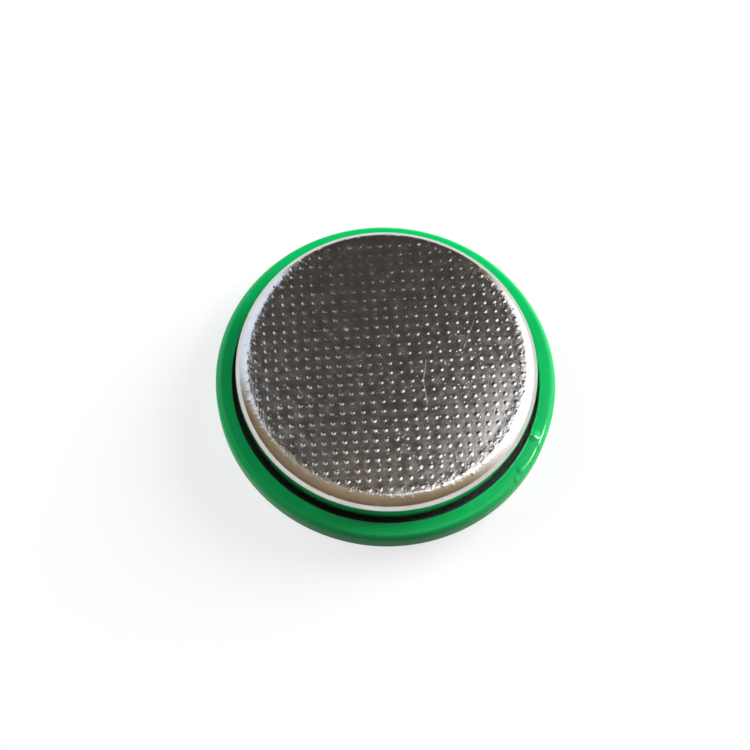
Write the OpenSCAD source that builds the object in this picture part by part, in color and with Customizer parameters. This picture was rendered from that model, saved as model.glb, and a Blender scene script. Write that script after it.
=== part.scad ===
// Lithium coin cell of the 24.5 mm size, negative cap uppermost, resting on its positive end.
// The origin is the middle of the underside and +Z is up. Every piece is turned about Z,
// and only the dots that are embossed in the cap break the round form.

/* [Cell] */
// Diameter over the sleeve
cell_d = 24.5; // [20:0.1:30]
// Height from the underside of the sleeve to the tops of the dots
cell_h = 5; // [4.7:0.1:7]

/* [Sleeve] */
// Thickness of the shrink film
film_t = 0.1; // [0.06:0.01:0.12]
// Gap between the film and the steel under it
film_gap = 0.02; // [0.01:0.01:0.03]
// Height of the flat rim that the film makes over the crimp
rim_h = 2.6; // [2.2:0.1:3.4]
// Width of that rim
rim_w = 1.2; // [1.1:0.02:1.4]
// How much higher the edge of the film stops than the underside of the crimp behind it
film_stop = 0.05; // [0.03:0.01:0.1]
// Width of the flat turn of the film under the base
turn_w = 0.55; // [0.3:0.05:1]

/* [Positive can] */
// Thickness of the can's steel
can_t = 0.25; // [0.2:0.01:0.27]
// Outside radius between the can's base and its wall
can_corner_r = 0.9; // [0.7:0.05:1.1]
// Radius in the hollow of the bend between the can's wall and its crimp
crimp_bend_r = 0.06; // [0.04:0.01:0.2]
// Gap between the land that is pressed down from the base and the film round it
land_gap = 0.04; // [0.02:0.01:0.1]

/* [Negative cap] */
// Gap between the cap's wall and the film round it
mouth_gap = 0.3; // [0.2:0.05:0.6]
// Thickness of the cap's steel
cap_t = 0.25; // [0.2:0.01:0.28]
// Outside radius of the shoulder between the cap's top and its wall
shoulder_r = 1; // [0.8:0.05:1.2]
// How far the cap's skirt stands out from its wall, at the step
step_w = 0.67; // [0.56:0.01:0.8]
// Radius in the hollow of the bends at the cap's step
step_r = 0.12; // [0.08:0.01:0.14]

/* [Dots] */
// Distance between neighbouring dots, along both rows
dot_pitch = 0.716; // [0.6:0.002:1.2]
// Diameter of a dot at the cap's surface
dot_d = 0.46; // [0.36:0.02:0.5]
// Height of a dot above the cap's surface
dot_h = 0.06; // [0.04:0.01:0.08]
// How far the dots' centres reach past the edge of the flat, over the shoulder
field_over = 0.45; // [0:0.05:0.5]
// Turn of the rows from the X axis
dot_turn = 9.6; // [0:0.1:45]
// Offset of the middle dot from the cell's axis along its row, as a share of the pitch
dot_shift_u = 0.21; // [-0.5:0.01:0.5]
// Offset of the middle dot from the cell's axis across its row, as a share of the pitch
dot_shift_v = -0.09; // [-0.5:0.01:0.5]

/* [Gasket] */
// Gap between the gasket and the steel on each side of it
seal_gap = 0.02; // [0.01:0.01:0.03]
// Thickness of the gasket's lip, pressed between the crimp and the cap's step
lip_t = 0.3; // [0.2:0.02:0.4]
// Thickness of the gasket under the edge of the cap
gasket_floor_t = 0.4; // [0.3:0.02:0.5]
// Thickness of the gasket's wall inside the cap
gasket_inner_t = 0.3; // [0.2:0.02:0.36]
// Gap between the top of the gasket's inner wall and the start of the cap's bend above it
gasket_inner_gap = 0.15; // [0.05:0.05:0.6]

/* [Contents] */
// Gap between the lithium disc and the start of the cap's shoulder
lithium_gap = 0.25; // [0.05:0.05:2]
// Thickness of the lithium disc
lithium_t = 1.15; // [0.6:0.05:1.4]
// Gap between the separator and the cap's wall
separator_gap = 0.2; // [0.05:0.05:0.4]
// Thickness of the separator
separator_t = 0.2; // [0.1:0.02:0.3]
// Gap between the manganese dioxide pellet and the cap's wall
pellet_gap = 0.5; // [0.4:0.05:1.5]
// Thickness of the ring that carries current from the pellet to the can
collector_t = 0.15; // [0.1:0.01:0.2]
// Height of that ring above the can's floor
collector_h = 1; // [0.6:0.05:1.3]
// Width of the ring's foot under the pellet
collector_foot_w = 1.2; // [0.8:0.1:2]
// Gap between the pellet and the wall of the ring
collector_gap = 0.03; // [0.02:0.01:0.05]

/* [Hidden] */
$fn = 96;
// Facets round one dot
dot_facets = 16;
// How far a dot is rooted in the cap's steel
dot_root = 0.08;
// Slope of the drop between the can's base and its land
land_slope = 45;

cell_r = cell_d / 2;
can_or = cell_r - film_t - film_gap;
can_ir = can_or - can_t;
base_z = film_t + film_gap;
floor_z = base_z + can_t;
corner_c = [can_or - can_corner_r, base_z + can_corner_r];
turn_r = corner_c.x - turn_w;
land_slope_r = turn_r - land_gap;
land_r = land_slope_r - base_z / tan(land_slope);
film_corner_r = can_corner_r + film_gap + film_t;

rim_ir = cell_r - rim_w;
crimp_ir = rim_ir + film_t + film_gap;
crimp_top_z = rim_h - film_t - film_gap;
crimp_under_z = crimp_top_z - can_t;
edge_c = [can_ir - crimp_bend_r, crimp_under_z - crimp_bend_r];
film_edge_z = crimp_under_z + film_stop;

gasket_or = can_ir - seal_gap;
gasket_z = floor_z + seal_gap;
lip_top_z = crimp_under_z - seal_gap;
lip_z = lip_top_z - lip_t;

cap_r = rim_ir - mouth_gap;
cap_top_z = cell_h - dot_h;
cap_under_z = cap_top_z - cap_t;
shoulder_c = [cap_r - shoulder_r, cap_top_z - shoulder_r];
step_z = lip_z - seal_gap;
step_c = [cap_r + step_r, step_z + step_r];
skirt_r = cap_r + step_w;
gasket_ir = skirt_r + seal_gap;
skirt_bend_r = step_r + cap_t;
skirt_c = [skirt_r - skirt_bend_r, step_z - skirt_bend_r];
skirt_z = gasket_z + gasket_floor_t + seal_gap;
channel_ir = skirt_r - cap_t - seal_gap;
gasket_bore_r = channel_ir - gasket_inner_t;

cap_ir = cap_r - cap_t;
lithium_z = cap_under_z - lithium_t;
separator_z = lithium_z - separator_t;
pellet_r = cap_ir - pellet_gap;
pellet_z = can_t + collector_t;
collector_ir = pellet_r + collector_gap;
foot_r = collector_ir - collector_foot_w;

// A quarter of a bent sheet in section, in the quadrant that the signs of q name
module bend(centre, outer_r, sheet_t, q) {
    translate(centre)
    intersection() {
        difference() {
            circle(outer_r);
            circle(outer_r - sheet_t);
        }
        translate([min(q.x, 0), min(q.y, 0)] * outer_r)
        square(outer_r);
    }
}

// A quarter of a disc in section, in the quadrant that the signs of q name
module quarter(centre, r, q) {
    translate(centre)
    intersection() {
        circle(r);
        translate([min(q.x, 0), min(q.y, 0)] * r)
        square(r);
    }
}

// A straight stretch of a section, from its lower inner corner to its upper outer corner
module strip(low, high) {
    translate(low)
    square(high - low);
}

// The film turns in under the base, runs up the side, lies on the crimp and folds down inside it
module sleeve() {
    color("#0b9a4c")
    rotate_extrude() {
        strip([turn_r, 0], [corner_c.x, film_t]);
        bend(corner_c, film_corner_r, film_t, [1, -1]);
        strip([cell_r - film_t, corner_c.y], [cell_r, edge_c.y]);
        bend(edge_c, cell_r - edge_c.x, film_t, [1, 1]);
        strip([crimp_ir, rim_h - film_t], [edge_c.x, rim_h]);
        bend([crimp_ir, crimp_top_z], film_gap + film_t, film_t, [-1, 1]);
        strip([rim_ir, film_edge_z], [rim_ir + film_t, crimp_top_z]);
    }
}

// A drawn steel cup whose rim is folded in over the gasket. The land in its base
// drops by the depth base_z, on a slope that keeps the sheet's thickness.
module positive_can() {
    slope_shift = can_t * tan(land_slope / 2);
    color("#c9cacc")
    rotate_extrude() {
        polygon([
            [0, 0], [land_r, 0], [land_slope_r, base_z], [corner_c.x, base_z],
            [corner_c.x, floor_z], [land_slope_r - slope_shift, floor_z],
            [land_r - slope_shift, can_t], [0, can_t]
        ]);
        bend(corner_c, can_corner_r, can_t, [1, -1]);
        strip([can_ir, corner_c.y], [can_or, edge_c.y]);
        bend(edge_c, can_or - edge_c.x, can_t, [1, 1]);
        strip([crimp_ir, crimp_under_z], [edge_c.x, crimp_top_z]);
    }
}

// A moulded channel round the cap's skirt, whose lip shows as the black ring round the cap
module gasket() {
    color("#101114")
    rotate_extrude()
    difference() {
        union() {
            strip([gasket_bore_r, gasket_z], [corner_c.x, corner_c.y]);
            quarter(corner_c, gasket_or - corner_c.x, [1, -1]);
            strip([gasket_bore_r, gasket_z], [channel_ir, skirt_c.y - gasket_inner_gap]);
            strip([gasket_ir, corner_c.y], [gasket_or, edge_c.y]);
            quarter(edge_c, gasket_or - edge_c.x, [1, 1]);
            strip([step_c.x, lip_z], [edge_c.x, lip_top_z]);
            strip([cap_r + seal_gap, step_c.y], [step_c.x, lip_top_z]);
            quarter(step_c, step_r - seal_gap, [-1, -1]);
        }
        strip([channel_ir, skirt_z - seal_gap], [gasket_ir, lip_z]);
    }
}

// One dot: a low dome whose root lies in the steel, with its base circle at z = 0
module dot() {
    dome_r = (dot_d * dot_d / 4 + dot_h * dot_h) / (2 * dot_h);
    rotate_extrude($fn = dot_facets)
    intersection() {
        translate([0, dot_h - dome_r])
        circle(dome_r);
        translate([0, -dot_root])
        square([dot_d, dot_h + dot_root]);
    }
}

// Seats a dot at distance r along X: level on the flat, and square to the shoulder beyond it
module seat(r) {
    lean = r > shoulder_c.x ? asin((r - shoulder_c.x) / shoulder_r) : 0;
    translate([min(r, shoulder_c.x), 0, shoulder_c.y])
    rotate([0, lean, 0])
    translate([0, 0, shoulder_r])
    children();
}

// The square field of dots, trimmed to a disc
module dots() {
    field_r = shoulder_c.x + field_over;
    reach = ceil(field_r / dot_pitch + max(abs(dot_shift_u), abs(dot_shift_v)));
    for (i = [-reach : reach], j = [-reach : reach]) {
        place = [i + dot_shift_u, j + dot_shift_v] * dot_pitch;
        if (norm(place) < field_r)
            rotate(dot_turn + atan2(place.y, place.x))
            seat(norm(place))
            dot();
    }
}

// A drawn steel cup, open downwards: top, shoulder, wall, step and skirt
module cap_shell() {
    rotate_extrude() {
        strip([0, cap_under_z], [shoulder_c.x, cap_top_z]);
        bend(shoulder_c, shoulder_r, cap_t, [1, 1]);
        strip([cap_ir, step_c.y], [cap_r, shoulder_c.y]);
        bend(step_c, skirt_bend_r, cap_t, [-1, -1]);
        strip([step_c.x, step_z - cap_t], [skirt_c.x, step_z]);
        bend(skirt_c, skirt_bend_r, cap_t, [1, 1]);
        strip([skirt_r - cap_t, skirt_z], [skirt_r, skirt_c.y]);
    }
}

module negative_cap() {
    color("#8d8b88")
    union() {
        cap_shell();
        dots();
    }
}

// A disc of lithium pressed on the underside of the cap
module lithium_anode() {
    color("#b9bcc4")
    translate([0, 0, lithium_z])
    cylinder(h = lithium_t, r = shoulder_c.x - lithium_gap);
}

module separator() {
    color("#f1f0ea")
    translate([0, 0, separator_z])
    cylinder(h = separator_t, r = cap_ir - separator_gap);
}

// A pressed disc of manganese dioxide and carbon, cut back where it stands on the ring's foot
module cathode_pellet() {
    color("#26262a")
    rotate_extrude() {
        strip([0, can_t], [foot_r, pellet_z]);
        strip([0, pellet_z], [pellet_r, separator_z]);
    }
}

// A steel ring of L section round the foot of the pellet
module cathode_collector() {
    color("#a7a9ac")
    rotate_extrude() {
        strip([foot_r, can_t], [collector_ir, pellet_z]);
        strip([collector_ir, can_t], [collector_ir + collector_t, can_t + collector_h]);
    }
}

sleeve();
positive_can();
gasket();
negative_cap();
lithium_anode();
separator();
cathode_pellet();
cathode_collector();
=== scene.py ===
import math
import random

import bpy
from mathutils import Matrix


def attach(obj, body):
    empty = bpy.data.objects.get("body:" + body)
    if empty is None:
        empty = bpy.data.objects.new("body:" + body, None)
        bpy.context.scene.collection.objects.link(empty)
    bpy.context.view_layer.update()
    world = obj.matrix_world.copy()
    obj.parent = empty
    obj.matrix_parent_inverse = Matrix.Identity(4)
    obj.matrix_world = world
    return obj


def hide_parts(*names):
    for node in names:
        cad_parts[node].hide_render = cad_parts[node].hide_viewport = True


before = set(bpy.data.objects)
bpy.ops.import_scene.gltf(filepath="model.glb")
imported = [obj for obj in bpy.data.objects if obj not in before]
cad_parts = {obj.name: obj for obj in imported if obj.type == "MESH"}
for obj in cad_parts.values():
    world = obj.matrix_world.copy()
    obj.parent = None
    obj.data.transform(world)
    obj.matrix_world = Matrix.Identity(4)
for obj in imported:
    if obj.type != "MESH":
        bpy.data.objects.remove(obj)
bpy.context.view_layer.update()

mm = 0.001
chance = random.Random(24)


# Modelling helpers

def deselectAll():
    if bpy.context.object and bpy.context.object.mode != "OBJECT":
        bpy.ops.object.mode_set(mode="OBJECT")
    bpy.ops.object.select_all(action="DESELECT")


def arc(centre, radius, start, end, steps):
    # points on an arc of a section, angles in degrees from the outward direction
    points = []
    for i in range(steps + 1):
        angle = math.radians(start + (end - start) * i / steps)
        points.append((centre[0] + radius * math.cos(angle), centre[1] + radius * math.sin(angle)))
    return points


turning = {"mergeGap": 0.0005, "smoothAngle": 40}


def turned(name, outline, steps, openAtAxis):
    # draws a section in millimetres by extruding one point, then spins it about the axis
    deselectAll()
    bpy.ops.mesh.primitive_plane_add(size=mm)
    piece = bpy.context.object
    piece.name = name
    bpy.ops.object.mode_set(mode="EDIT")
    bpy.ops.mesh.merge(type="CENTER")
    bpy.ops.transform.translate(value=(outline[0][0] * mm, 0, outline[0][1] * mm))
    for last, point in zip(outline, outline[1:]):
        step = ((point[0] - last[0]) * mm, 0, (point[1] - last[1]) * mm)
        bpy.ops.mesh.extrude_region_move(TRANSFORM_OT_translate={"value": step})
    bpy.ops.mesh.select_all(action="SELECT")
    if not openAtAxis:
        bpy.ops.object.mode_set(mode="OBJECT")
        for vertex in piece.data.vertices:
            vertex.select = vertex.index in (0, len(piece.data.vertices) - 1)
        bpy.ops.object.mode_set(mode="EDIT")
        bpy.ops.mesh.edge_face_add()
        bpy.ops.mesh.select_all(action="SELECT")
    bpy.ops.mesh.spin(steps=steps, angle=math.tau, center=(0, 0, 0), axis=(0, 0, 1))
    bpy.ops.mesh.select_all(action="SELECT")
    bpy.ops.mesh.remove_doubles(threshold=turning["mergeGap"] * mm)
    bpy.ops.mesh.normals_make_consistent(inside=False)
    bpy.ops.object.mode_set(mode="OBJECT")
    bpy.ops.object.shade_smooth_by_angle(angle=math.radians(turning["smoothAngle"]))
    return piece


# Material helpers

def newMaterial(name):
    material = bpy.data.materials.new(name)
    material.use_nodes = True
    tree = material.node_tree
    shader = tree.nodes["Principled BSDF"]
    place = tree.nodes.new("ShaderNodeTexCoord")
    return material, tree, shader, place.outputs["Object"]


def emptyTree(owner):
    owner.use_nodes = True
    owner.node_tree.nodes.clear()
    return owner.node_tree


def addNode(tree, kind, inputs=None, **settings):
    node = tree.nodes.new("ShaderNode" + kind)
    for key, value in settings.items():
        setattr(node, key, value)
    for key, value in (inputs or {}).items():
        if isinstance(value, bpy.types.NodeSocket):
            tree.links.new(value, node.inputs[key])
        else:
            node.inputs[key].default_value = value
    return node


def noise(tree, place, size, detail=3.0, rough=0.5):
    # size is the width of one blotch, in millimetres
    node = addNode(tree, "TexNoise", {"Vector": place, "Scale": 1 / (size * mm), "Detail": detail,
                                      "Roughness": rough})
    return node.outputs["Fac"]


def spread(tree, value, low, high, fromLow=0.3, fromHigh=0.7):
    # stretches the middle range of a noise, or another range, over the two given levels
    node = addNode(tree, "MapRange", {"Value": value, "From Min": fromLow, "From Max": fromHigh,
                                      "To Min": low, "To Max": high})
    return node.outputs["Result"]


def soft(tree, value, low, high):
    # rises smoothly from 0 to 1 between two values
    node = addNode(tree, "MapRange", {"Value": value, "From Min": low, "From Max": high},
                   interpolation_type="SMOOTHSTEP")
    return node.outputs["Result"]


def maths(tree, operation, first, second=0.0):
    node = addNode(tree, "Math", {0: first, 1: second}, operation=operation)
    return node.outputs[0]


def times(tree, first, second):
    return maths(tree, "MULTIPLY", first, second)


def less(tree, value):
    return maths(tree, "SUBTRACT", 1.0, value)


def gapTo(tree, place, point):
    # distance from a point given in millimetres
    gap = addNode(tree, "VectorMath", {0: place, 1: [c * mm for c in point]}, operation="DISTANCE")
    return gap.outputs["Value"]


def spot(tree, place, middle, radius):
    # 1 in the middle of a round spot, in millimetres, and 0 at its edge
    return less(tree, soft(tree, gapTo(tree, place, middle), 0.0, radius * mm))


def fromAxis(tree, place):
    # distance from the cell's axis
    apart = addNode(tree, "SeparateXYZ", {"Vector": place})
    flat = addNode(tree, "CombineXYZ", {"X": apart.outputs["X"], "Y": apart.outputs["Y"]})
    far = addNode(tree, "VectorMath", {0: flat.outputs["Vector"]}, operation="LENGTH")
    return far.outputs["Value"]


def blend(tree, value, first, second):
    node = addNode(tree, "Mix", {"Factor": value}, data_type="RGBA")
    for socket, colour in ((node.inputs[6], first), (node.inputs[7], second)):
        if isinstance(colour, bpy.types.NodeSocket):
            tree.links.new(colour, socket)
        else:
            socket.default_value = (*colour, 1)
    return node.outputs[2]


def bumps(tree, shader, layers):
    # layers: (height value, depth in millimetres)
    normal = None
    for height, depth in layers:
        node = addNode(tree, "Bump", {"Height": height, "Strength": 1.0, "Distance": depth * mm})
        if normal:
            tree.links.new(normal, node.inputs["Normal"])
        normal = node.outputs["Normal"]
    tree.links.new(normal, shader.inputs["Normal"])
    tree.links.new(normal, shader.inputs["Coat Normal"])


def cloudy(tree, shader, place, size, dark, light):
    # base colour that wavers between two tones
    cloud = spread(tree, noise(tree, place, size, 4), 0, 1)
    tree.links.new(blend(tree, cloud, dark, light), shader.inputs["Base Color"])


def dress(piece, material):
    piece.data.materials.clear()
    piece.data.materials.append(material)


# Negative cap: a drawn cup with a round shoulder, and the dots pressed up in it

capForm = {
    "topZ": 4.97, "wallR": 10.75, "shoulderR": 1.0, "sheet": 0.25, "stepZ": 1.89, "stepR": 0.12,
    "skirtR": 11.42, "skirtZ": 0.81, "bevel": 0.03, "turns": 224,
    "flatShares": (0.25, 0.5, 0.75, 0.92), "shoulderSteps": (20, 10), "stepSteps": (5, 7),
    "skirtSteps": (7, 4), "leanLimit": 0.98,
}
dotForm = {
    "pitch": 0.716, "turn": 9.6, "shiftU": 0.21, "shiftV": -0.09, "fieldR": 10.2,
    "spread": 0.24, "height": 0.021, "root": 0.05, "sides": 12, "rings": 4, "arms": 0.0,
    "sizes": (0.9, 1.03), "heights": (0.7, 1.0), "sunk": 0.002, "smoothAngle": 50,
}
# the small marks between four dots
starForm = {
    "fieldR": 10.0, "spread": 0.18, "height": 0.005, "root": 0.05, "sides": 8, "rings": 2,
    "arms": 0.3, "armCount": 4, "sizes": (0.7, 1.1), "heights": (0.3, 1.0),
}


def capOutline(form):
    flatR = form["wallR"] - form["shoulderR"]
    shoulder = (flatR, form["topZ"] - form["shoulderR"])
    bendR = form["stepR"] + form["sheet"]
    step = (form["wallR"] + form["stepR"], form["stepZ"] + form["stepR"])
    skirt = (form["skirtR"] - bendR, form["stepZ"] - bendR)
    skirtInR, bevel = form["skirtR"] - form["sheet"], form["bevel"]
    outer = [(0, form["topZ"])] + [(flatR * share, form["topZ"]) for share in form["flatShares"]]
    outer += arc(shoulder, form["shoulderR"], 90, 0, form["shoulderSteps"][0])
    outer += arc(step, form["stepR"], 180, 270, form["stepSteps"][0])
    outer += arc(skirt, bendR, 90, 0, form["skirtSteps"][0])
    outer += [(form["skirtR"], form["skirtZ"] + bevel), (form["skirtR"] - bevel, form["skirtZ"])]
    inner = [(skirtInR + bevel, form["skirtZ"]), (skirtInR, form["skirtZ"] + bevel)]
    inner += arc(skirt, form["stepR"], 0, 90, form["skirtSteps"][1])
    inner += arc(step, bendR, 270, 180, form["stepSteps"][1])
    inner += arc(shoulder, form["shoulderR"] - form["sheet"], 0, 90, form["shoulderSteps"][1])
    inner += [(0, form["topZ"] - form["sheet"])]
    return outer + inner


def raisedDot(name, form):
    # a prism whose top is inset and lifted ring by ring into a soft mound, with its foot just
    # under the steel
    deselectAll()
    root = form["root"]
    bpy.ops.mesh.primitive_cylinder_add(vertices=form["sides"], radius=form["spread"] * mm,
                                        depth=root * mm, location=(0, 0, -root / 2 * mm))
    dot = bpy.context.object
    dot.name = name
    bpy.ops.object.transform_apply(location=True)
    bpy.ops.object.mode_set(mode="EDIT")
    bpy.ops.mesh.select_all(action="DESELECT")
    bpy.ops.object.mode_set(mode="OBJECT")
    for face in dot.data.polygons:
        face.select = face.normal.z > 0.9
    bpy.ops.object.mode_set(mode="EDIT")
    rings = form["rings"]
    lift = [form["height"] * math.cos(math.pi / 2 * (1 - i / rings)) ** 2
            for i in range(rings + 1)]
    for i in range(1, rings):
        ratio = (rings - i) / (rings - i + 1)
        rise = (0, 0, (lift[i] - lift[i - 1]) * mm)
        bpy.ops.mesh.extrude_region_move(TRANSFORM_OT_translate={"value": rise})
        bpy.ops.transform.resize(value=(ratio, ratio, 1))
    bpy.ops.mesh.poke(offset=(lift[rings] - lift[rings - 1]) * mm)
    bpy.ops.object.mode_set(mode="OBJECT")
    if form["arms"]:
        for vertex in dot.data.vertices:
            angle = math.atan2(vertex.co.y, vertex.co.x)
            share = 1 + form["arms"] * math.cos(form["armCount"] * angle)
            vertex.co.x *= share
            vertex.co.y *= share
    return dot


def seatOnCap(x, y, height):
    # where a point of the dotted sheet lies once the sheet is drawn over the shoulder
    shoulderR = capForm["shoulderR"]
    flatR = capForm["wallR"] - shoulderR
    shoulderZ = capForm["topZ"] - shoulderR
    r = math.hypot(x, y)
    if r <= flatR * mm:
        return x, y, capForm["topZ"] * mm + height
    lean = math.asin(min((r / mm - flatR) / shoulderR, capForm["leanLimit"]))
    reach = (flatR + (shoulderR + height / mm) * math.sin(lean)) * mm
    up = (shoulderZ + (shoulderR + height / mm) * math.cos(lean)) * mm
    return x / r * reach, y / r * reach, up


def scatter(name, form, centreShare):
    # one copy of a dot at each place of the square field, each with its own mesh
    master = raisedDot(name, form)
    pitch, turn = dotForm["pitch"], math.radians(dotForm["turn"])
    reach = math.ceil(form["fieldR"] / pitch) + 1
    copies = []
    for i in range(-reach, reach + 1):
        for j in range(-reach, reach + 1):
            u = (i + centreShare + dotForm["shiftU"]) * pitch
            v = (j + centreShare + dotForm["shiftV"]) * pitch
            if math.hypot(u, v) >= form["fieldR"]:
                continue
            x = u * math.cos(turn) - v * math.sin(turn)
            y = u * math.sin(turn) + v * math.cos(turn)
            copied = master.copy()
            copied.data = master.data.copy()
            bpy.context.collection.objects.link(copied)
            wide = chance.uniform(*form["sizes"])
            tall = chance.uniform(*form["heights"])
            for vertex in copied.data.vertices:
                px = vertex.co.x * wide
                py = vertex.co.y * wide
                height = vertex.co.z * (tall if vertex.co.z > 0 else 1) - dotForm["sunk"] * mm
                vertex.co = seatOnCap(x * mm + px * math.cos(turn) - py * math.sin(turn),
                                      y * mm + px * math.sin(turn) + py * math.cos(turn), height)
            copies.append(copied)
    bpy.data.objects.remove(master)
    return copies


def makeCap():
    cap = turned("capPiece", capOutline(capForm), capForm["turns"], True)
    dots = scatter("dot", dotForm, 0.0)
    stars = scatter("star", starForm, 0.5)
    deselectAll()
    for part in dots + stars:
        part.select_set(True)
    bpy.context.view_layer.objects.active = dots[0]
    bpy.ops.object.join()
    field = bpy.context.object
    bpy.ops.object.shade_smooth_by_angle(angle=math.radians(dotForm["smoothAngle"]))
    deselectAll()
    field.select_set(True)
    cap.select_set(True)
    bpy.context.view_layer.objects.active = cap
    bpy.ops.object.join()
    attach(cap, "root")
    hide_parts("negative_cap")
    return cap


capLook = {
    "base": (0.66, 0.64, 0.62), "dull": (0.56, 0.545, 0.53), "blotchSize": 1.4,
    "roughLow": 0.10, "roughHigh": 0.2, "roughSize": 0.7,
    "grain": 0.0016, "grainSize": 0.16, "peel": 0.004, "peelSize": 0.5,
    "speck": 0.005, "speckSize": 0.42, "speckFrom": 0.05, "speckTo": 0.22,
    "scratchWidth": 0.03, "scratchRough": 0.23, "scratchFade": 0.1,
    "borderIn": 9.0, "borderMid": 9.75, "borderOut": 10.3, "wrinkle": 0.028, "wrinkleSize": 0.3,
    "bulge": 0.09, "bulgeMiddle": 0.8, "bulgeEdge": 0.2,
}
# ends of the scratches on the flat, in millimetres
scratches = [
    ((5.9, 3.91), (5.59, 2.76)), ((5.59, 2.76), (5.28, 1.57)), ((2.71, 0.46), (2.63, -1.11)),
    ((2.63, -1.11), (3.04, -2.82)), ((-8.98, -2.66), (-8.88, -4.69)),
]


def scratch(tree, place, ends, width, fade):
    # 1 along a straight mark on the flat, which fades out at its ends
    (x0, y0), (x1, y1) = ends
    length = math.hypot(x1 - x0, y1 - y0)
    along = ((x1 - x0) / length, (y1 - y0) / length, 0)
    across = (-along[1], along[0], 0)
    offset = addNode(tree, "VectorMath", {0: place, 1: (x0 * mm, y0 * mm, 0)},
                     operation="SUBTRACT").outputs["Vector"]
    run, side = [addNode(tree, "VectorMath", {0: offset, 1: way},
                         operation="DOT_PRODUCT").outputs["Value"] for way in (along, across)]
    near = less(tree, soft(tree, maths(tree, "ABSOLUTE", side), 0.0, width * mm))
    started = soft(tree, run, -fade * length * mm, fade * length * mm)
    ended = less(tree, soft(tree, run, (1 - fade) * length * mm, (1 + fade) * length * mm))
    return times(tree, near, times(tree, started, ended))


def capSteel():
    look = capLook
    material, tree, shader, place = newMaterial("capSteel")
    shader.inputs["Metallic"].default_value = 1.0
    cloudy(tree, shader, place, look["blotchSize"], look["dull"], look["base"])
    marks = 0.0
    for ends in scratches:
        mark = scratch(tree, place, ends, look["scratchWidth"], look["scratchFade"])
        marks = maths(tree, "MAXIMUM", mark, marks)
    even = spread(tree, noise(tree, place, look["roughSize"], 4), look["roughLow"],
                  look["roughHigh"])
    tree.links.new(maths(tree, "ADD", even, times(tree, marks, look["scratchRough"])),
                   shader.inputs["Roughness"])
    reach = fromAxis(tree, place)
    # the flat bulges a little and falls off towards the shoulder, as stamped sheet does
    share = maths(tree, "DIVIDE", reach, look["borderMid"] * mm)
    fall = maths(tree, "ADD", times(tree, maths(tree, "POWER", share, 2.0), look["bulgeMiddle"]),
                 times(tree, maths(tree, "POWER", share, 8.0), look["bulgeEdge"]))
    # its border is puckered where the sheet was drawn
    inside = soft(tree, reach, look["borderIn"] * mm, look["borderMid"] * mm)
    outside = soft(tree, reach, look["borderMid"] * mm, look["borderOut"] * mm)
    border = times(tree, inside, less(tree, outside))
    wrinkle = times(tree, border, noise(tree, place, look["wrinkleSize"], 3))
    specks = addNode(tree, "TexVoronoi", {"Vector": place, "Scale": 1 / (look["speckSize"] * mm)})
    pit = spread(tree, specks.outputs["Distance"], 1.0, 0.0, look["speckFrom"], look["speckTo"])
    bumps(tree, shader, [
        (less(tree, fall), look["bulge"]), (noise(tree, place, look["peelSize"], 2), look["peel"]),
        (noise(tree, place, look["grainSize"], 3, 0.6), look["grain"]), (pit, look["speck"]),
        (wrinkle, look["wrinkle"]),
    ])
    return material


# Sleeve: green shrink film that lies on the crimp and is turned in under the base

filmForm = {
    "wallR": 12.244, "film": 0.1, "cornerR": 1.02, "cornerC": (11.224, 1.02), "edgeR": 0.43,
    "topZ": 2.6, "lipR": 11.05, "lipBend": 0.12, "hemZ": 2.28, "hemBevel": 0.02, "turnR": 10.68,
    "wallRows": (1.4, 1.8), "topRows": (11.7, 11.45), "turns": 224,
    "cornerSteps": (14, 10), "edgeSteps": (10, 8), "lipSteps": (6, 3),
}


def filmOutline(form):
    inside, bevel = form["film"], form["hemBevel"]
    hemZ, lipR = form["hemZ"], form["lipR"]
    edge = (form["wallR"] - form["edgeR"], form["topZ"] - form["edgeR"])
    lip = (lipR + form["lipBend"], form["topZ"] - form["lipBend"])
    outer = [(form["turnR"], 0.0)]
    outer += arc(form["cornerC"], form["cornerR"], -90, 0, form["cornerSteps"][0])
    outer += [(form["wallR"], z) for z in form["wallRows"]]
    outer += arc(edge, form["edgeR"], 0, 90, form["edgeSteps"][0])
    outer += [(r, form["topZ"]) for r in form["topRows"]]
    outer += arc(lip, form["lipBend"], 90, 180, form["lipSteps"][0])
    outer += [(lipR, hemZ + bevel), (lipR + bevel, hemZ), (lipR + inside - bevel, hemZ),
              (lipR + inside, hemZ + bevel)]
    inner = arc(lip, form["lipBend"] - inside, 180, 90, form["lipSteps"][1])
    inner += arc(edge, form["edgeR"] - inside, 90, 0, form["edgeSteps"][1])
    inner += arc(form["cornerC"], form["cornerR"] - inside, 0, -90, form["cornerSteps"][1])
    inner += [(form["turnR"], inside)]
    return outer + inner


def makeSleeve():
    sleeve = turned("sleevePiece", filmOutline(filmForm), filmForm["turns"], False)
    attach(sleeve, "root")
    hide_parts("sleeve")
    return sleeve


filmLook = {
    "base": (0.003, 0.6, 0.15), "deep": (0.002, 0.54, 0.13), "cloudSize": 2.5, "rough": 0.3,
    "specular": (0.02, 0.1), "coat": (0.03, 0.4), "coatRough": 0.06,
    "glossFrom": 2.2, "glossTo": 2.5,
    "ripple": 0.02, "rippleSize": 1.6, "fine": 0.0008, "fineSize": 0.12,
    "pinch": (10.82, -3.56, 2.6), "pinchRadius": 0.48, "pinchDepth": 0.145,
}
# middle and radius of the small creases in the film, and their depth, in millimetres
creases = [
    ((11.25, -4.35, 2.6), 0.24, 0.07), ((10.0, -6.2, 2.6), 0.4, 0.05),
    ((9.8, -7.0, 2.6), 0.3, 0.05), ((-10.4, 5.2, 2.6), 0.5, 0.05),
]


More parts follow.
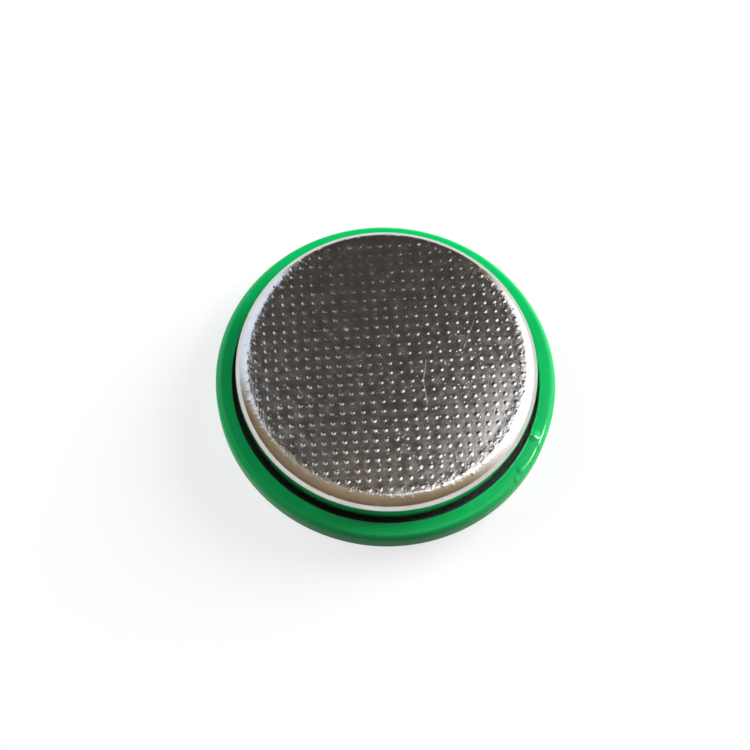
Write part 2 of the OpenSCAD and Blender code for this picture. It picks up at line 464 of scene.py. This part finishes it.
def greenFilm():
    look = filmLook
    material, tree, shader, place = newMaterial("greenFilm")
    shader.inputs["Roughness"].default_value = look["rough"]
    shader.inputs["Coat Roughness"].default_value = look["coatRough"]
    cloud = noise(tree, place, look["cloudSize"], 3)
    tree.links.new(blend(tree, spread(tree, cloud, 0, 1), look["deep"], look["base"]),
                   shader.inputs["Base Color"])
    # the handled wall is duller than the top
    height = addNode(tree, "SeparateXYZ", {"Vector": place}).outputs["Z"]
    upper = soft(tree, height, look["glossFrom"] * mm, look["glossTo"] * mm)
    tree.links.new(spread(tree, upper, *look["specular"], 0, 1),
                   shader.inputs["Specular IOR Level"])
    tree.links.new(spread(tree, upper, *look["coat"], 0, 1), shader.inputs["Coat Weight"])
    layers = [(noise(tree, place, look["rippleSize"], 2), look["ripple"]),
              (noise(tree, place, look["fineSize"], 2), look["fine"])]
    layers += [(spot(tree, place, middle, radius), depth) for middle, radius, depth in creases]
    # a small pointed pinch, whose even slope mirrors the sun
    pinch = spread(tree, gapTo(tree, place, look["pinch"]), 1.0, 0.0, 0.0,
                   look["pinchRadius"] * mm)
    layers.append((pinch, look["pinchDepth"]))
    bumps(tree, shader, layers)
    return material


# The other pieces keep their CAD shape and get their finishes

steelLook = {
    "base": (0.64, 0.63, 0.61), "dull": (0.5, 0.49, 0.48), "cloudSize": 1.8,
    "rough": (0.18, 0.34), "roughSize": 0.5, "ring": 0.003, "ringSize": 0.2,
    "grain": 0.001, "grainSize": 0.1,
}
steelFinishes = {
    "positive_can": ("canSteel", steelLook),
    "cathode_collector": ("collectorSteel", {**steelLook, "rough": (0.28, 0.42)}),
}
plainFinishes = {
    "gasket": {
        "name": "gasketPlastic", "dark": (0.002, 0.002, 0.003), "light": (0.005, 0.005, 0.007),
        "size": 0.5, "rough": (0.4, 0.55), "depth": 0.004, "metallic": 0.0, "specular": 0.2,
    },
    "lithium_anode": {
        "name": "lithiumMetal", "dark": (0.42, 0.43, 0.46), "light": (0.62, 0.63, 0.66),
        "size": 1.5, "rough": (0.4, 0.6), "depth": 0.006, "metallic": 1.0, "specular": 0.5,
    },
    "separator": {
        "name": "separatorFleece", "dark": (0.7, 0.69, 0.65), "light": (0.88, 0.87, 0.83),
        "size": 0.25, "rough": (0.85, 0.95), "depth": 0.03, "metallic": 0.0, "specular": 0.5,
    },
    "cathode_pellet": {
        "name": "pelletPowder", "dark": (0.012, 0.012, 0.013), "light": (0.04, 0.04, 0.043),
        "size": 0.3, "rough": (0.75, 0.9), "depth": 0.02, "metallic": 0.0, "specular": 0.5,
    },
}


def drawnSteel(name, look):
    # bright sheet steel with faint rings from the press
    material, tree, shader, place = newMaterial(name)
    shader.inputs["Metallic"].default_value = 1.0
    cloudy(tree, shader, place, look["cloudSize"], look["dull"], look["base"])
    tree.links.new(spread(tree, noise(tree, place, look["roughSize"], 4), *look["rough"]),
                   shader.inputs["Roughness"])
    ringPlace = addNode(tree, "CombineXYZ", {"X": fromAxis(tree, place)})
    rings = noise(tree, ringPlace.outputs["Vector"], look["ringSize"], 4)
    bumps(tree, shader, [(rings, look["ring"]),
                         (noise(tree, place, look["grainSize"], 2), look["grain"])])
    return material


def plainFinish(look):
    material, tree, shader, place = newMaterial(look["name"])
    shader.inputs["Metallic"].default_value = look["metallic"]
    shader.inputs["Specular IOR Level"].default_value = look["specular"]
    cloudy(tree, shader, place, look["size"], look["dark"], look["light"])
    tree.links.new(spread(tree, noise(tree, place, look["size"] * 0.6, 3), *look["rough"]),
                   shader.inputs["Roughness"])
    bumps(tree, shader, [(noise(tree, place, look["size"] * 0.3, 3), look["depth"])])
    return material


print("modelling the cap")
cap = makeCap()
dress(cap, capSteel())
print("modelling the sleeve")
sleeve = makeSleeve()
dress(sleeve, greenFilm())
print("finishing the other pieces")
for node, (name, look) in steelFinishes.items():
    dress(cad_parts[node], drawnSteel(name, look))
for node, look in plainFinishes.items():
    dress(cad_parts[node], plainFinish(look))


# Studio: pale floor, two windows, and the dim room that the bright steel mirrors

studio = {
    "floorSize": 4, "floorGap": 0.02, "floorAlbedo": 0.32, "floorGlow": 0.75,
    "worldDiffuse": 0.035,
}


def seenRays(tree):
    # 1 for camera, glossy and transmission rays, 0 for the rays that light the object
    path = addNode(tree, "LightPath")
    mirrored = maths(tree, "MAXIMUM", path.outputs["Is Glossy Ray"],
                     path.outputs["Is Transmission Ray"])
    return maths(tree, "MAXIMUM", path.outputs["Is Camera Ray"], mirrored)


def makeFloor():
    # a hair under the cell, and clear from below, so that the underside can be seen
    deselectAll()
    bpy.ops.mesh.primitive_plane_add(size=studio["floorSize"],
                                     location=(0, 0, -studio["floorGap"] * mm))
    floor = bpy.context.object
    floor.name = "floor"
    material = bpy.data.materials.new("paleFloor")
    tree = emptyTree(material)
    glowing = times(tree, seenRays(tree), studio["floorGlow"])
    card = addNode(tree, "BsdfDiffuse", {"Color": (studio["floorAlbedo"],) * 3 + (1,)})
    glow = addNode(tree, "Emission", {"Strength": glowing})
    both = addNode(tree, "AddShader", {0: card.outputs[0], 1: glow.outputs[0]})
    under = addNode(tree, "NewGeometry")
    clear = addNode(tree, "BsdfTransparent")
    pick = addNode(tree, "MixShader", {0: under.outputs["Backfacing"], 1: both.outputs[0],
                                       2: clear.outputs[0]})
    addNode(tree, "OutputMaterial", {"Surface": pick.outputs[0]})
    dress(floor, material)


# colours of the room, and where each part of it lies: pairs of angles in degrees between which
# it fades, or of x/z and y/z for the slanted edges of the windows overhead
room = {
    "radius": 300, "segments": 64, "rows": 32,
    "nearLow": (0.2, 0.145, 0.085), "nearMid": (0.36, 0.27, 0.17), "midRise": (0, 45),
    "top": (0.47, 0.4, 0.3), "topRise": (40, 85),
    "far": (0.068, 0.06, 0.052), "farFromRight": (50, 76), "farFromLeft": (45, 62),
    "farRise": (70, 88),
    "leftWindow": (1.08, 1.22, 1.42), "leftSlant": 0.68, "leftEdge": (-0.02, 0.06),
    "leftFar": (46, 66), "leftNear": (-6, 28), "leftRise": (55, 82),
    "rightWindow": (1.85, 1.88, 1.95), "rightSlant": 1.5, "rightEdge": (-0.46, -0.4),
    "rightStart": (0.09, 0.19), "rightFar": (50, 68), "rightNear": (-52, 5),
    "rightWarm": (1.35, 1.16, 0.85), "warmEnd": (-38, 0),
    "sun": (80, 80, 80), "sunWay": (0.582, 0.166, 0.794), "sunSize": 0.11, "sunCore": 0.8,
}


def roomColour(tree):
    place = addNode(tree, "TexCoord")
    way = addNode(tree, "VectorMath", {0: place.outputs["Object"]},
                  operation="NORMALIZE").outputs["Vector"]
    apart = addNode(tree, "SeparateXYZ", {"Vector": way})
    x, y, z = apart.outputs["X"], apart.outputs["Y"], apart.outputs["Z"]

    def band(value, key):
        low, high = room[key]
        return soft(tree, value, math.radians(low), math.radians(high))

    fromRight = maths(tree, "ARCTAN2", y, x)
    fromLeft = maths(tree, "ARCTAN2", y, times(tree, x, -1.0))
    rise = maths(tree, "ARCSINE", z)
    across, along = maths(tree, "DIVIDE", x, z), maths(tree, "DIVIDE", y, z)

    walls = blend(tree, band(rise, "midRise"), room["nearLow"], room["nearMid"])
    walls = blend(tree, band(rise, "topRise"), walls, room["top"])

    far = times(tree, band(fromRight, "farFromRight"), band(fromLeft, "farFromLeft"))
    walls = blend(tree, times(tree, far, less(tree, band(rise, "farRise"))), walls, room["far"])

    slant = maths(tree, "ADD", across, times(tree, along, room["leftSlant"]))
    left = less(tree, soft(tree, slant, *room["leftEdge"]))
    left = maths(tree, "MAXIMUM", left, less(tree, band(fromLeft, "leftFar")))
    left = times(tree, left, band(fromLeft, "leftNear"))
    left = times(tree, left, less(tree, band(rise, "leftRise")))
    walls = blend(tree, left, walls, room["leftWindow"])

    slant = maths(tree, "SUBTRACT", across, times(tree, along, room["rightSlant"]))
    right = times(tree, soft(tree, slant, *room["rightEdge"]),
                  soft(tree, across, *room["rightStart"]))
    right = maths(tree, "MAXIMUM", right, less(tree, band(fromRight, "rightFar")))
    right = times(tree, right, band(fromRight, "rightNear"))
    window = blend(tree, band(fromRight, "warmEnd"), room["rightWarm"], room["rightWindow"])
    walls = blend(tree, right, walls, window)

    gap = addNode(tree, "VectorMath", {0: way, 1: room["sunWay"]}, operation="DISTANCE")
    core = room["sunSize"] * room["sunCore"]
    sun = less(tree, soft(tree, gap.outputs["Value"], core, room["sunSize"]))
    return blend(tree, sun, walls, room["sun"])


def makeRoom():
    # a dome that only reflections see: brown walls, dark at the far side, with the two windows
    # and the sun in one of them
    deselectAll()
    bpy.ops.mesh.primitive_uv_sphere_add(segments=room["segments"], ring_count=room["rows"],
                                         radius=room["radius"] * mm)
    dome = bpy.context.object
    dome.name = "room"
    material = bpy.data.materials.new("roomWalls")
    tree = emptyTree(material)
    glow = addNode(tree, "Emission", {"Color": roomColour(tree)})
    addNode(tree, "OutputMaterial", {"Surface": glow.outputs[0]})
    dress(dome, material)
    dome.visible_camera = False
    dome.visible_diffuse = False
    dome.visible_transmission = False
    dome.visible_shadow = False


lamps = {
    "rightWindow": {
        "place": (268, 190, 152), "size": (270, 220), "power": 2.25, "tint": (1.0, 0.99, 0.96),
    },
    "leftWindow": {
        "place": (-292, 80, 190), "size": (290, 240), "power": 0.72, "tint": (0.92, 0.96, 1),
    },
}


def makeLamps():
    # light on what isn't mirrored; the steel sees the room's windows instead
    for name, lamp in lamps.items():
        data = bpy.data.lights.new(name, "AREA")
        data.shape = "RECTANGLE"
        data.size, data.size_y = [side * mm for side in lamp["size"]]
        data.energy = lamp["power"]
        data.color = lamp["tint"]
        box = bpy.data.objects.new(name, data)
        bpy.context.collection.objects.link(box)
        box.location = [c * mm for c in lamp["place"]]
        box.rotation_euler = (-box.location).to_track_quat("-Z", "Y").to_euler()
        box.visible_camera = False
        box.visible_glossy = False


def makeWorld():
    world = bpy.data.worlds.new("studioWorld")
    bpy.context.scene.world = world
    tree = emptyTree(world)
    level = spread(tree, seenRays(tree), studio["worldDiffuse"], 1.0, 0.0, 1.0)
    back = addNode(tree, "Background", {"Strength": level})
    addNode(tree, "OutputWorld", {"Surface": back.outputs[0]})


camera = {
    "place": (-0.02, -42.46, 101.69), "turn": (23.111, -1.71, 5.059), "lens": 72, "sensor": 36,
    "clip": (0.002, 20),
}


def makeCamera():
    data = bpy.data.cameras.new("camera")
    data.lens = camera["lens"]
    data.sensor_width = camera["sensor"]
    data.clip_start, data.clip_end = camera["clip"]
    eye = bpy.data.objects.new("camera", data)
    bpy.context.collection.objects.link(eye)
    eye.location = [c * mm for c in camera["place"]]
    eye.rotation_euler = [math.radians(a) for a in camera["turn"]]
    bpy.context.scene.camera = eye


print("lighting the studio")
makeFloor()
makeRoom()
makeLamps()
makeWorld()
makeCamera()
bpy.context.scene.view_settings.view_transform = "Standard"

print("pieces ready")
